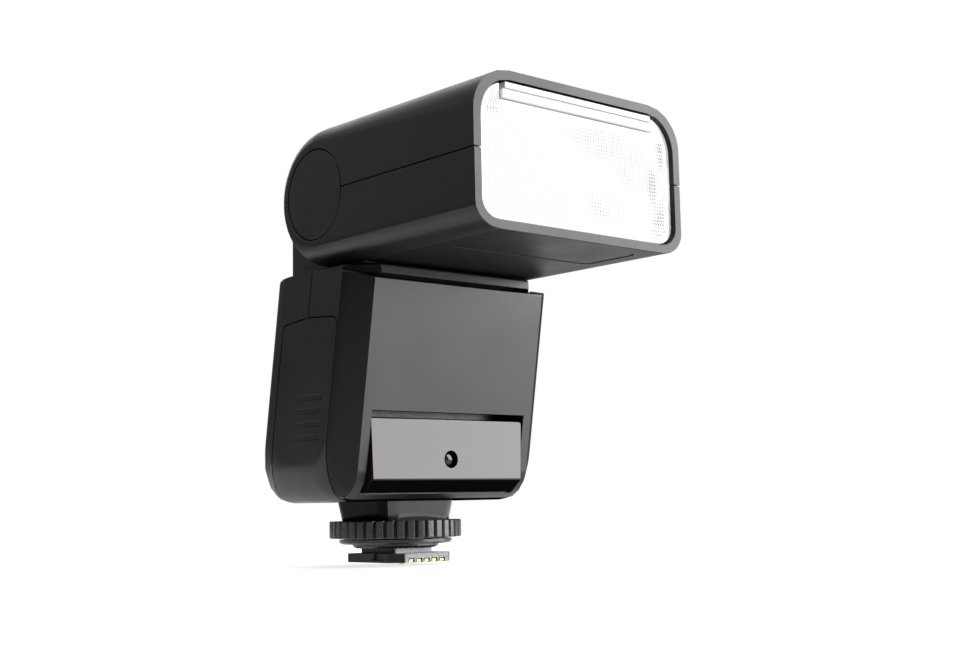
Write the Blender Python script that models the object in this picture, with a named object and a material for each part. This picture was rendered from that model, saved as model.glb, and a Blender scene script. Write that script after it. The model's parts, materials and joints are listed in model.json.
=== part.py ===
"""Compact hot-shoe speedlight flash, as an assembly of separate pieces.

Design values are in millimetres and degrees; every mesh is built in metres. The origin is where the lock
ring's axis meets the foot's underside. +Z is up, the flash fires along -Y, and X runs across it.
The lower body leans forward, so most of its pieces are drawn by their depth behind the leaning front
panel: lean() turns an x, a depth and a height into a place.
"""

import math

import bmesh
import bpy
from mathutils import Vector

MM = 0.001
GAP = 0.3

# Shoe foot and lock
FOOT_HALF = 9.3
FOOT_CENTRE_Y = -2.66
FOOT_TAIL = 0.9
FOOT_THICK = 2.1
FOOT_NOSE_CHAMFER = 2.8
STEM_HALF_X = 5.9
STEM_HALF_Y = 6.6
STEM_CENTRE_Y = -0.3
STEM_TOP = 4.3
NECK_RADIUS = 7.5
NECK_BOTTOM = 4.15
NECK_TOP = 12.4
CLAMP_BOTTOM = 3.3
CLAMP_STEP = 4.3
CLAMP_TOP = 5.35
CLAMP_LOW_RADIUS = 10.4
CLAMP_LIP_RADIUS = 13.6
RING_BOTTOM = 5.67
RING_TOP = 9.8
RING_RADIUS = 15.9
RING_RIBS = 40
RING_RIB_DEPTH = 0.75
RING_DISH_RADIUS = 13.4
RING_DISH_FLOOR = 9.1
PEDESTAL_BOTTOM = 9.4
PEDESTAL_TOP = 14.9
PEDESTAL_HALF_LOW = 10.3
PEDESTAL_HALF_HIGH = 11.15
PEDESTAL_CORNER = 4.0
PEDESTAL_SCREW_OFFSET = 7.0
SCREW_SHANK_HOLE = 1.2
SCREW_HEAD_HOLE = 1.8
LOCK_PIN_AT = (7.2, 2.0)
CONTACT_PITCH = 2.3

# Leaning lower body
BODY_BOTTOM = 14.3
BODY_TOP_FRONT = 63.7
BODY_TOP_SHOULDER = 65.0
BODY_TOP_SEAM = 66.9
BODY_TOP_REAR = 66.2
SHOULDER_DEPTH = 3.6
LEAN = 0.1705
PANEL_TOP_Y = -26.76
BODY_DEPTH = 36.0
BODY_HALF = 30.8
PANEL_HALF = 25.4
FRONT_CHAMFER = 5.2
REAR_ROUND = 8.0
SIDE_ROUND_HALF = 23.5
SIDE_ROUND_LIFT = 9.0
FRONT_FOOT_ROUND = 6.5
REAR_FOOT_ROUND = 9.0
WALL = 1.8
SEAM_DEPTH = 17.1
TOP_RECESS_FLOOR = 63.4

# Swivel deck and knuckle
SWIVEL_Y = -8.2
DECK_FRONT_Y = -25.1
DECK_REAR_Y = 7.9
DECK_FRONT_HALF = 22.56
DECK_HALF = 28.4
DECK_LIP_BOTTOM = 65.05
DECK_BOTTOM = 63.7
DECK_TOP = 67.4
DECK_UNDERCUT = 4.0
SPINDLE_RADIUS = 7.5
KNUCKLE_BOTTOM = 67.7
KNUCKLE_HALF = 24.6
KNUCKLE_DRUM = 14.6
KNUCKLE_FRONT_Y = -21.6
KNUCKLE_REAR_Y = 9.3
KNUCKLE_SHOULDER = 83.7
DRUM_END = -2.2
KNUCKLE_WALL = 2.4
SPINDLE_WALL = 1.6
SPINDLE_BOTTOM = 61.1

# Flash head
HINGE_Y = -11.2
HINGE_Z = 84.24
HEAD_FRONT_Y = -67.2
HEAD_TOP = 101.5
HEAD_BOTTOM = 68.0
HEAD_HALF = 31.0
HEAD_HIGH_EDGE = (10.0, 9.5, 5.8)
HEAD_LOW_EDGE = (6.6, 5.2, 5.2)
HEAD_WALL = 2.0
SLOT_HALF = 25.0
SLOT_RADIUS = 15.0
SLOT_FLOOR_Y = -22.1
CHEEK_WALL = 1.4
CAP_RADIUS = 10.35
AXLE_RADIUS = 3.8
LENS_RECESS = 1.0
LENS_THICK = 2.0
NOTCH_HALF = 23.0
NOTCH_BOTTOM = 95.4
TUBE_AT = (-52.6, 84.0)
REFLECTOR_HALF = 22.4
ROD_X = 25.3
ROD_Z = 88.4
NUT_X = -16.0
NUT_Z = 73.0
CARRIAGE_BACK = -47.8
CARRIAGE_THICK = 1.6
CARRIAGE_HALF = 26.6
PANEL_BACK = -32.0
PANEL_FRONT = -66.9

# Side battery compartment
CELL_RADIUS = 7.2
CELL_LENGTH = 49.5
CELL_DEPTH = 15.9
CELL_LOW_Z = 25.8
CELL_HIGH_Z = 41.2
CELL_START_X = -27.2
HOLDER_WALL = 0.8
BAY_HALF = 25.2
DOOR_FRONT_DEPTH = 5.6
DOOR_REAR_DEPTH = 27.0
DOOR_TOP = 55.1
DOOR_TOP_SEAM = 56.0
DOOR_BOTTOM = 12.0
DOOR_GROOVE = 0.75
GROOVE_TOP = 38.4
GROOVE_PITCH = 3.0
GROOVE_FRONT = 8.7
GROOVE_REAR = 21.5

# Front window
WINDOW_HALF_TOP = 22.7
WINDOW_HALF_BOTTOM = 22.2
WINDOW_TOP = 33.1
WINDOW_KNEE = 19.5
WINDOW_BOTTOM = 16.2
WINDOW_TOP_Y = -21.0
WINDOW_KNEE_Y = -21.0
WINDOW_WALL = 1.6
LEDGE_TOP = 34.5
SENSOR_X = 0.4
SENSOR_Z = 23.7
SENSOR_HOLE_RADIUS = 2.05

# Rear controls, placed by x and by height along the leaning rear face
REAR_ANCHOR_Z = 40.0
SCREEN_HALF = 19.0
SCREEN_LOW = 3.5
SCREEN_HIGH = 21.0
KEY_ROW = -2.6
KEY_PITCH = 10.4
KEY_HALF_X = 3.7
KEY_HALF_UP = 1.7
KEY_PROUD = 0.8
DIAL_X = -11.5
DIAL_UP = -13.2
DIAL_RADIUS = 8.2
SET_RADIUS = 3.7
TEST_X = 14.5
TEST_UP = -9.4
TEST_RADIUS = 2.8
SWITCH_X = 13.0
SWITCH_UP = -16.4
SWITCH_TRAVEL = 3.0


def lean(x, depth, z):
    """Place of a point of the leaning body: depth is measured back from the front panel's plane."""
    return Vector((x, PANEL_TOP_Y + LEAN * (BODY_TOP_FRONT - z) + depth, z))


REAR_NORMAL = Vector((0, 1, LEAN)).normalized()
REAR_UP = Vector((0, -LEAN, 1)).normalized()
REAR_ANCHOR = lean(0, BODY_DEPTH, REAR_ANCHOR_Z)


def on_rear(x, up, out):
    """Place of a point given across, up and out of the leaning rear face."""
    return REAR_ANCHOR + Vector((x, 0, 0)) + REAR_UP * up + REAR_NORMAL * out


# Outlines


def fillet(corners, steps=4):
    """Closed outline through corners (a, b, radius), each rounded to its radius."""
    points = []
    for index, (a, b, radius) in enumerate(corners):
        here = Vector((a, b))
        if radius == 0:
            points.append(here)
            continue
        back = (Vector(corners[index - 1][:2]) - here).normalized()
        ahead = (Vector(corners[(index + 1) % len(corners)][:2]) - here).normalized()
        half = math.acos(max(-1, min(1, back.dot(ahead)))) / 2
        centre = here + (back + ahead).normalized() * radius / math.sin(half)
        first = here + back * radius / math.tan(half) - centre
        last = here + ahead * radius / math.tan(half) - centre
        start = math.atan2(first.y, first.x)
        sweep = math.atan2(last.y, last.x) - start
        sweep = (sweep + math.pi) % (2 * math.pi) - math.pi
        for step in range(steps + 1):
            angle = start + sweep * step / steps
            points.append(centre + Vector((math.cos(angle), math.sin(angle))) * radius)
    return points


def rounded_box(low, high, radius, steps=4):
    corners = ((low[0], low[1]), (high[0], low[1]), (high[0], high[1]), (low[0], high[1]))
    return fillet([(a, b, radius) for a, b in corners], steps)


def arc(centre, radius, start, end, steps):
    """Points along a circle, angles in degrees."""
    angles = [math.radians(start + (end - start) * step / steps) for step in range(steps + 1)]
    return [Vector((centre[0] + radius * math.cos(a), centre[1] + radius * math.sin(a))) for a in angles]


# Solids, as bmeshes in millimetres


def loft(rings, closed=False):
    """Skin over rings of equal length, capped at both ends or joined end to end."""
    bm = bmesh.new()
    rows = [[bm.verts.new(point) for point in ring] for ring in rings]
    pairs = list(zip(rows, rows[1:]))
    if closed:
        pairs.append((rows[-1], rows[0]))
    else:
        bm.faces.new(rows[0])
        bm.faces.new(rows[-1])
    for low, high in pairs:
        for index in range(len(low)):
            after = (index + 1) % len(low)
            bm.faces.new((low[index], low[after], high[after], high[index]))
    return bm


def spread(axis, a, b, along):
    """3-D point from two outline coordinates and a distance along the axis."""
    if axis == "X":
        return Vector((along, a, b))
    if axis == "Y":
        return Vector((a, along, b))
    return Vector((a, b, along))


def prism(outline, low, high, axis="Z"):
    return loft([[spread(axis, a, b, along) for a, b in outline] for along in (low, high)])


def block(low, high):
    plan = ((low[0], low[1]), (high[0], low[1]), (high[0], high[1]), (low[0], high[1]))
    return prism(plan, low[2], high[2])


def lean_prism(outline, low, high):
    """Prism whose outline of (depth, z) leans with the body, from x = low to x = high."""
    return loft([[lean(x, depth, z) for depth, z in outline] for x in (low, high)])


def lean_block(low, high):
    """Block with corners given as (x, depth, z), leaning with the body."""
    depths = ((low[1], low[2]), (high[1], low[2]), (high[1], high[2]), (low[1], high[2]))
    return lean_prism(depths, low[0], high[0])


def rear_prism(outline, low, high):
    """Prism whose outline of (x, up) lies on the rear face, from out = low to out = high."""
    return loft([[on_rear(x, up, out) for x, up in outline] for out in (low, high)])


def round_bar(axis, centre, radius, low, high, steps=24):
    return stack(axis, centre, ((radius, low), (radius, high)), steps)


def stack(axis, centre, sections, steps=24):
    """Turned solid: sections of (radius, distance along the axis) about centre, the outline's two values."""
    turns = [2 * math.pi * step / steps for step in range(steps)]
    rings = []
    for radius, along in sections:
        ring = []
        for turn in turns:
            a = centre[0] + radius * math.cos(turn)
            b = centre[1] + radius * math.sin(turn)
            ring.append(spread(axis, a, b, along))
        rings.append(ring)
    return loft(rings)


def rear_stack(x, up, sections, steps=24):
    """Turned solid standing on the rear face: sections of (radius, out)."""
    turns = [2 * math.pi * step / steps for step in range(steps)]
    rings = []
    for radius, out in sections:
        rings.append([on_rear(x + radius * math.cos(t), up + radius * math.sin(t), out) for t in turns])
    return loft(rings)


def collar(axis, centre, profile, steps=32):
    """Ring-shaped turned solid with a closed profile of (radius, distance along the axis)."""
    rings = []
    for step in range(steps):
        turn = 2 * math.pi * step / steps
        ring = []
        for radius, along in profile:
            a = centre[0] + radius * math.cos(turn)
            b = centre[1] + radius * math.sin(turn)
            ring.append(spread(axis, a, b, along))
        rings.append(ring)
    return loft(rings, closed=True)


# Objects


def material(name, color, roughness, metallic=0.0, alpha=1.0):
    made = bpy.data.materials.new(name)
    made.use_nodes = True
    shader = made.node_tree.nodes["Principled BSDF"]
    shader.inputs["Base Color"].default_value = (*color, 1.0)
    shader.inputs["Roughness"].default_value = roughness
    shader.inputs["Metallic"].default_value = metallic
    shader.inputs["Alpha"].default_value = alpha
    return made


def place(name, bm, finish=None, origin=(0, 0, 0)):
    """Object from a bmesh in millimetres, with its origin at the given point."""
    bmesh.ops.recalc_face_normals(bm, faces=bm.faces)
    bmesh.ops.translate(bm, verts=bm.verts, vec=-Vector(origin))
    bmesh.ops.scale(bm, verts=bm.verts, vec=(MM, MM, MM))
    mesh = bpy.data.meshes.new(name)
    bm.to_mesh(mesh)
    bm.free()
    mesh.shade_smooth()
    mesh.set_sharp_from_angle(angle=math.radians(30))
    if finish:
        mesh.materials.append(finish)
    obj = bpy.data.objects.new(name, mesh)
    obj.location = Vector(origin) * MM
    bpy.context.collection.objects.link(obj)
    return obj


def shape(obj, operation, bm):
    """Boolean of obj with a hidden helper made from bm."""
    helper = place(f"{operation.lower()}_{obj.name}", bm)
    helper.hide_render = True
    helper.display_type = "WIRE"
    modifier = obj.modifiers.new(operation.title(), "BOOLEAN")
    modifier.operation = operation
    modifier.object = helper


def cut(obj, *tools):
    for bm in tools:
        shape(obj, "DIFFERENCE", bm)


def join(obj, *additions):
    for bm in additions:
        shape(obj, "UNION", bm)


def keep(obj, bm):
    shape(obj, "INTERSECT", bm)


# Lower body


def ease(value, start, end):
    return max(0.0, min(1.0, (value - start) / (end - start)))


def quarter(value, start, end):
    """0 at start rising to 1 at end along a quarter of an ellipse."""
    return 1 - math.sqrt(max(0.0, 1 - ease(value, start, end) ** 2))


def body_top(depth):
    knots = (
        (0, BODY_TOP_FRONT),
        (SHOULDER_DEPTH, BODY_TOP_SHOULDER),
        (SEAM_DEPTH, BODY_TOP_SEAM),
        (BODY_DEPTH, BODY_TOP_REAR),
    )
    for (start, low), (end, high) in zip(knots, knots[1:]):
        if depth <= end:
            return low + (high - low) * (depth - start) / (end - start)
    return BODY_TOP_REAR


def front_corner(across, start, end):
    """How far back the front corner's face has run: nearly straight, a little crowned."""
    return FRONT_CHAMFER * (0.88 * ease(across, start, end) + 0.12 * quarter(across, start, end))


def body_solid(inset):
    """The lower body's outside, or its inside when drawn in by the wall."""
    half = BODY_HALF - inset
    start = SIDE_ROUND_HALF - inset
    bends = [start + (half - start) * math.sin(math.radians(angle)) for angle in range(0, 91, 15)]
    bends[1] = PANEL_HALF - inset * 0.6
    stations = sorted({0.0, *bends, *(-x for x in bends)})
    rings = []
    for x in stations:
        across = abs(x)
        front = inset + front_corner(across, PANEL_HALF - inset * 0.6, half)
        rear = BODY_DEPTH - inset - REAR_ROUND * quarter(across, half - REAR_ROUND, half)
        floor = BODY_BOTTOM + inset + SIDE_ROUND_LIFT * quarter(across, start, half)
        shoulder = max(front + 1.2, SHOULDER_DEPTH)
        corners = (
            (front, floor, FRONT_FOOT_ROUND),
            (rear, floor, REAR_FOOT_ROUND),
            (rear, body_top(rear) - inset, 0.8),
            (SEAM_DEPTH, BODY_TOP_SEAM - inset, 0),
            (shoulder, body_top(shoulder) - inset, 0),
            (front, body_top(front) - inset, 0.4),
        )
        rings.append([lean(x, depth, z) for depth, z in fillet(corners)])
    return loft(rings)


def door_outline(grow):
    corners = (
        (DOOR_FRONT_DEPTH - grow, DOOR_BOTTOM - grow, 0),
        (DOOR_REAR_DEPTH + grow, DOOR_BOTTOM - grow, 0),
        (DOOR_REAR_DEPTH + grow, DOOR_TOP + grow, 1.2 + grow),
        (SEAM_DEPTH, DOOR_TOP_SEAM + grow, 0),
        (DOOR_FRONT_DEPTH - grow, DOOR_TOP + grow, 2.3 + grow),
    )
    return fillet(corners)


def deck_outline(grow):
    chamfer = DECK_HALF - DECK_FRONT_HALF
    corners = (
        (-DECK_FRONT_HALF - grow * 0.5, DECK_FRONT_Y - grow, 0.6),
        (DECK_FRONT_HALF + grow * 0.5, DECK_FRONT_Y - grow, 0.6),
        (DECK_HALF + grow, DECK_FRONT_Y + chamfer * 1.1 - grow * 0.5, 0.6),
        (DECK_HALF + grow, DECK_REAR_Y + grow, 6.0),
        (-DECK_HALF - grow, DECK_REAR_Y + grow, 6.0),
        (-DECK_HALF - grow, DECK_FRONT_Y + chamfer * 1.1 - grow * 0.5, 0.6),
    )
    return fillet(corners)


def top_recess():
    """Cutter for the recess that holds the swivel deck, with the spindle's hole below it."""
    recess = [Vector((x, y)) for x, y in deck_outline(GAP)]
    return prism(recess, TOP_RECESS_FLOOR, BODY_TOP_SEAM + 8)


def recess_roof():
    """What stays solid under the swivel recess, taken from the body's hollow."""
    return prism(deck_outline(GAP + WALL), TOP_RECESS_FLOOR - WALL, BODY_TOP_SEAM + 8)


def spindle_hole():
    return round_bar("Z", (0, SWIVEL_Y), SPINDLE_RADIUS + GAP, 55, BODY_TOP_SEAM + 8, 32)


def screw_places():
    """One screw in front of the seam and one behind it, on a diagonal of the pedestal."""
    return [(offset, offset) for offset in (-PEDESTAL_SCREW_OFFSET, PEDESTAL_SCREW_OFFSET)]


def window_hollow(grow):
    """Opening in the front housing for the window, with a ledge above it."""
    half = WINDOW_HALF_TOP + grow
    return block((-half, -40, WINDOW_BOTTOM - grow), (half, WINDOW_TOP_Y + 5.6, LEDGE_TOP))


def casing(name, finish, front):
    """Front or rear half of the lower body's shell, split along the leaning seam."""
    half = place(name, body_solid(0), finish)
    cavity = place(f"cavity_{name}", body_solid(WALL))
    cavity.hide_render = True
    cavity.display_type = "WIRE"
    cut(cavity, recess_roof())
    hollow = half.modifiers.new("Hollow", "BOOLEAN")
    hollow.object = cavity
    if front:
        keep(half, lean_block((-50, -20, 0), (50, SEAM_DEPTH - GAP / 2, 90)))
    else:
        keep(half, lean_block((-50, SEAM_DEPTH + GAP / 2, 0), (50, 60, 90)))
    cut(half, top_recess(), spindle_hole(), lean_prism(door_outline(GAP), -40, -SIDE_ROUND_HALF))
    cut(half, pedestal_solid(GAP))
    for x, y in screw_places():
        if (y < 0) == front:
            cut(half, round_bar("Z", (x, y), SCREW_SHANK_HOLE, 10, 18.5, 12))
    return half


def front_housing(finish):
    housing = casing("front_housing", finish, True)
    cut(housing, window_hollow(GAP))
    return housing


def rear_cover(finish):
    cover = casing("rear_cover", finish, False)
    cut(cover, rear_prism(rounded_box((-SCREEN_HALF, SCREEN_LOW), (SCREEN_HALF, SCREEN_HIGH), 1.5), -4, 3))
    for x in key_centres():
        low = (x - KEY_HALF_X - GAP, KEY_ROW - KEY_HALF_UP - GAP)
        high = (x + KEY_HALF_X + GAP, KEY_ROW + KEY_HALF_UP + GAP)
        cut(cover, rear_prism(rounded_box(low, high, 1.2), -4, 3))
    cut(cover, rear_stack(DIAL_X, DIAL_UP, ((DIAL_RADIUS + GAP, -4), (DIAL_RADIUS + GAP, 3)), 32))
    cut(cover, rear_stack(TEST_X, TEST_UP, ((TEST_RADIUS + GAP, -4), (TEST_RADIUS + GAP, 3))))
    low = (SWITCH_X - 4.5, SWITCH_UP - 1.5)
    high = (SWITCH_X + 4.5, SWITCH_UP + 1.5)
    cut(cover, rear_prism(rounded_box(low, high, 1.0), -4, 3))
    cut(cover, port_opening(GAP, BODY_HALF - 4, BODY_HALF + 4))
    return cover


def port_outline(grow):
    return rounded_box((22.6 - grow, 22.6 - grow), (27.2 + grow, 33.4 + grow), 1.2 + grow)


def port_opening(grow, low, high):
    return lean_prism(port_outline(grow), low, high)


def battery_door(finish):
    door = place("battery_door", body_solid(0), finish)
    cut(door, body_solid(WALL))
    keep(door, lean_prism(door_outline(0), -40, -SIDE_ROUND_HALF - GAP))
    for index in range(4):
        cut(door, grip_groove(GROOVE_TOP - GROOVE_PITCH * index))
    return door


def grip_groove(top):
    """Cutter for a groove in the door's side, deepest at its front end and running out at its rear end."""
    outline = rounded_box((GROOVE_FRONT, top - 1.25), (GROOVE_REAR, top), 0.45)
    outside = [lean(-40, depth, z) for depth, z in outline]
    floor = []
    for depth, z in outline:
        sunk = DOOR_GROOVE * ease(depth, GROOVE_REAR, GROOVE_FRONT) - 0.06
        floor.append(lean(sunk - BODY_HALF, depth, z))
    return loft([outside, floor])


def window(finish):
    """Red-black infrared window: near-vertical face that turns under at the foot, hollow behind."""
    back = WINDOW_TOP_Y + 5.2
    outer = (
        (WINDOW_TOP_Y, WINDOW_TOP, 0.5),
        (WINDOW_KNEE_Y, WINDOW_KNEE - 0.6, 0.8),
        (WINDOW_KNEE_Y + 3.2, WINDOW_BOTTOM, 1.0),
        (back, WINDOW_BOTTOM, 0),
        (back, WINDOW_TOP, 0),
    )
    inner = (
        (WINDOW_TOP_Y + WINDOW_WALL, WINDOW_TOP - WINDOW_WALL, 0),
        (WINDOW_KNEE_Y + WINDOW_WALL, WINDOW_KNEE, 0),
        (WINDOW_KNEE_Y + 3.6, WINDOW_BOTTOM + WINDOW_WALL, 0),
        (back + 5, WINDOW_BOTTOM + WINDOW_WALL, 0),
        (back + 5, WINDOW_TOP - WINDOW_WALL, 0),
    )
    outline = fillet(outer)
    rings = []
    for side in (-1, 1):
        ring = []
        for y, z in outline:
            widening = (WINDOW_HALF_TOP - WINDOW_HALF_BOTTOM) * ease(z, WINDOW_KNEE, WINDOW_TOP)
            half = WINDOW_HALF_BOTTOM + widening
            ring.append(Vector((side * half, y, z)))
        rings.append(ring)
    pane = place("front_window", loft(rings), finish)
    half = WINDOW_HALF_BOTTOM - WINDOW_WALL
    cut(pane, prism(fillet(inner), -half, half, "X"))
    cut(pane, round_bar("Y", (SENSOR_X, SENSOR_Z), SENSOR_HOLE_RADIUS, -30, WINDOW_TOP_Y + 3))
    return pane


def battery_bay(finish):
    grip = CELL_RADIUS + GAP
    bay = place("battery_bay", prism(capsule(grip + HOLDER_WALL), -BAY_HALF, BAY_HALF, "X"), finish)
    cut(bay, prism(capsule(grip), -40, BAY_HALF - HOLDER_WALL, "X"))
    return bay


def capsule(radius):
    """Side outline round both cells."""
    low = lean(0, CELL_DEPTH, CELL_LOW_Z).yz
    high = lean(0, CELL_DEPTH, CELL_HIGH_Z).yz
    slope = math.degrees(math.atan2(high.y - low.y, high.x - low.x))
    return arc(high, radius, slope - 90, slope + 90, 12) + arc(low, radius, slope + 90, slope + 270, 12)


def cell(name, z, nub, finish):
    """AA-size cell along X, with its raised terminal at the door's end when nub is -1."""
    centre = lean(0, CELL_DEPTH, z)
    start = CELL_START_X
    end = CELL_START_X + CELL_LENGTH
    if nub < 0:
        sections = ((2.6, start), (2.6, start + 1.3), (6.6, start + 1.3), (7.1, start + 2), (7.1, end))
    else:
        sections = ((7.1, start), (7.1, end - 2), (6.6, end - 1.3), (2.6, end - 1.3), (2.6, end))
    return place(name, stack("X", (centre.y, centre.z), sections, 20), finish)


def coil_spring(name, x_start, x_end, centre, finish, first=2.6, last=4.6, wire=0.35, coils=3):
    """Tapered contact spring along X."""
    curve = bpy.data.curves.new(name, "CURVE")
    curve.dimensions = "3D"
    curve.bevel_depth = wire * MM
    curve.bevel_resolution = 1
    curve.use_fill_caps = True
    spline = curve.splines.new("POLY")
    count = coils * 12
    spline.points.add(count)
    for index in range(count + 1):
        part = index / count
        turn = 2 * math.pi * coils * part
        radius = first + (last - first) * part
        point = Vector((x_start + (x_end - x_start) * part, 0, 0))
        point += Vector((0, centre.y + radius * math.cos(turn), centre.z + radius * math.sin(turn)))
        spline.points[index].co = (*(point * MM), 1)
    curve.materials.append(finish)
    spring = bpy.data.objects.new(name, curve)
    bpy.context.collection.objects.link(spring)
    return spring


def key_centres():
    return [(index - 1.5) * KEY_PITCH for index in range(4)]


def rear_key(index, x, finish):
    low = (x - KEY_HALF_X, KEY_ROW - KEY_HALF_UP)
    high = (x + KEY_HALF_X, KEY_ROW + KEY_HALF_UP)
    outline = rounded_box(low, high, 1.0)
    crown = rounded_box((low[0] + 0.4, low[1] + 0.4), (high[0] - 0.4, high[1] - 0.4), 0.6)
    rings = [[on_rear(a, up, out) for a, up in outline] for out in (-2.4, KEY_PROUD - 0.3)]
    rings.append([on_rear(a, up, KEY_PROUD) for a, up in crown])
    return place(f"function_key_{index + 1}", loft(rings), finish, on_rear(x, KEY_ROW, 0))


def control_dial(finish):
    """Ring-shaped selector wheel with scallops round its rim."""
    steps = 48
    rings = []
    profile = ((SET_RADIUS + 0.5, -2.6), (DIAL_RADIUS, -2.6), (DIAL_RADIUS, 0.9), (DIAL_RADIUS - 0.7, 1.5))
    profile += ((SET_RADIUS + 1.2, 1.3), (SET_RADIUS + 0.5, 0.9))
    for step in range(steps):
        turn = 2 * math.pi * step / steps
        ring = []
        for radius, out in profile:
            rim = radius - 0.35 * (step % 2) if radius > DIAL_RADIUS - 1 else radius
            x = DIAL_X + rim * math.cos(turn)
            ring.append(on_rear(x, DIAL_UP + rim * math.sin(turn), out))
        rings.append(ring)
    return place("control_dial", loft(rings, closed=True), finish, on_rear(DIAL_X, DIAL_UP, 0))


# Foot


def foot(finish):
    """Foot plate with its stem and threaded neck, in one moulding."""
    nose = FOOT_CENTRE_Y - FOOT_HALF
    tail = FOOT_CENTRE_Y + FOOT_HALF
    slant = FOOT_NOSE_CHAMFER
    corners = (
        (-FOOT_HALF + slant, nose, 0.3),
        (FOOT_HALF - slant, nose, 0.3),
        (FOOT_HALF, nose + slant, 0.3),
        (FOOT_HALF, tail + FOOT_TAIL, 1.0),
        (-FOOT_HALF, tail + FOOT_TAIL, 1.0),
        (-FOOT_HALF, nose + slant, 0.3),
    )
    plate = place("foot_plate", prism(fillet(corners, 2), 0, FOOT_THICK), finish)
    low = (-STEM_HALF_X, STEM_CENTRE_Y - STEM_HALF_Y)
    high = (STEM_HALF_X, STEM_CENTRE_Y + STEM_HALF_Y)
    join(plate, prism(rounded_box(low, high, 0.6, 2), FOOT_THICK - 0.5, STEM_TOP))
    join(plate, round_bar("Z", (0, 0), NECK_RADIUS, NECK_BOTTOM, NECK_TOP, 32))
    cut(plate, round_bar("Z", (0, FOOT_CENTRE_Y), 1.15, -1, 8, 16))
    cut(plate, round_bar("Z", (0, FOOT_CENTRE_Y), 1.9, 2.2, 8, 16))
    cut(plate, round_bar("Z", LOCK_PIN_AT, 0.85, -1, 3, 12))
    cut(plate, block((-6.0, nose + 1.2, -1), (6.0, nose + 3, 0.9)))
    for x in contact_places():
        cut(plate, block((x - 0.85, nose - 1, -1), (x + 0.85, nose + 1.5, 0.95)))
    for side in (-1, 1):
        inner, outer = sorted((side * (FOOT_HALF - 0.9), side * (FOOT_HALF + 1)))
        cut(plate, block((inner, nose + 4.6, 0.5), (outer, nose + 9.4, 5)))
    return plate


def contact_places():
    return [CONTACT_PITCH * (index - 2) for index in range(5)]


def contact_comb(finish):
    """Gold strip in the foot's underside with five fingers that reach its front face."""
    nose = FOOT_CENTRE_Y - FOOT_HALF
    comb = place("contact_strip", block((-5.6, nose + 1.5, 0.2), (5.6, nose + 2.7, 0.6)), finish)
    for x in contact_places():
        join(comb, block((x - 0.5, nose + 0.15, 0.2), (x + 0.5, nose + 1.7, 0.7)))
    return comb


def lock_ring(finish):
    """Knurled ring, dished above to take the pedestal's end."""
    pattern = (0, 0, 0, 0, 1)
    steps = RING_RIBS * len(pattern)
    rings = []
    for step in range(steps):
        turn = 2 * math.pi * step / steps
        rim = RING_RADIUS - RING_RIB_DEPTH * pattern[step % len(pattern)]
        profile = (
            (NECK_RADIUS + GAP, RING_BOTTOM),
            (rim - 0.2, RING_BOTTOM),
            (rim, RING_BOTTOM + 0.2),
            (rim, RING_TOP - 0.2),
            (rim - 0.2, RING_TOP),
            (RING_DISH_RADIUS, RING_TOP),
            (RING_DISH_RADIUS, RING_DISH_FLOOR),
            (NECK_RADIUS + GAP, RING_DISH_FLOOR),
        )
        rings.append([Vector((r * math.cos(turn), r * math.sin(turn), z)) for r, z in profile])
    return place("lock_ring", loft(rings, closed=True), finish)


def clamp_disc(finish):
    """Stepped disc under the ring, keyed to the stem so that it slides without turning."""
    sections = (
        (CLAMP_LOW_RADIUS - 0.6, CLAMP_BOTTOM),
        (CLAMP_LOW_RADIUS, CLAMP_BOTTOM + 0.5),
        (CLAMP_LOW_RADIUS, CLAMP_STEP),
        (CLAMP_LIP_RADIUS - 0.5, CLAMP_STEP),
        (CLAMP_LIP_RADIUS, CLAMP_STEP + 0.4),
        (CLAMP_LIP_RADIUS, CLAMP_TOP),
    )
    disc = place("clamp_disc", stack("Z", (0, 0), sections, 40), finish)
    low = (-STEM_HALF_X - GAP, STEM_CENTRE_Y - STEM_HALF_Y - GAP)
    high = (STEM_HALF_X + GAP, STEM_CENTRE_Y + STEM_HALF_Y + GAP)
    cut(disc, prism(rounded_box(low, high, 0.6, 2), 0, 8))
    cut(disc, round_bar("Z", (0, 0), NECK_RADIUS + GAP, CLAMP_BOTTOM + 0.55, 8, 32))
    return disc


def pedestal_solid(grow):
    """Tapered block whose top stands in a pocket of the body, or that pocket's cutter when grown."""
    rings = []
    for half, z in ((PEDESTAL_HALF_LOW, PEDESTAL_BOTTOM), (PEDESTAL_HALF_HIGH, PEDESTAL_TOP)):
        plan = rounded_box((-half - grow, -half - grow), (half + grow, half + grow), PEDESTAL_CORNER + grow)
        rings.append([Vector((x, y, z + grow)) for x, y in plan])
    return loft(rings)


def pedestal(finish):
    """Block between the body and the foot, with a socket for the neck and two screw holes."""
    base = place("pedestal", pedestal_solid(0), finish)
    cut(base, round_bar("Z", (0, 0), NECK_RADIUS + GAP, 5, NECK_TOP + GAP, 32))
    for x, y in screw_places():
        cut(base, round_bar("Z", (x, y), SCREW_HEAD_HOLE, 5, 11.6, 12))
        cut(base, round_bar("Z", (x, y), SCREW_SHANK_HOLE, 5, 18, 12))
    return base


def pedestal_screw(index, x, y, finish):
    sections = ((1.4, 10.4), (1.4, 11.3), (0.9, 11.3), (0.9, 15.8))
    return place(f"pedestal_screw_{index + 1}", stack("Z", (x, y), sections, 12), finish)


# Swivel


def swivel_deck(finish):
    """Fixed plate with a thin lip, on which the head's tower turns."""
    rings = []
    for grow, z in ((-DECK_UNDERCUT, DECK_BOTTOM), (-DECK_UNDERCUT, DECK_LIP_BOTTOM)):
        rings.append([Vector((x, y, z)) for x, y in deck_outline(grow)])
    for grow, z in ((0, DECK_LIP_BOTTOM), (0, DECK_TOP - 0.4), (-0.3, DECK_TOP)):
        rings.append([Vector((x, y, z)) for x, y in deck_outline(grow)])
    deck = place("swivel_deck", loft(rings), finish)
    cut(deck, spindle_hole())
    return deck


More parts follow.
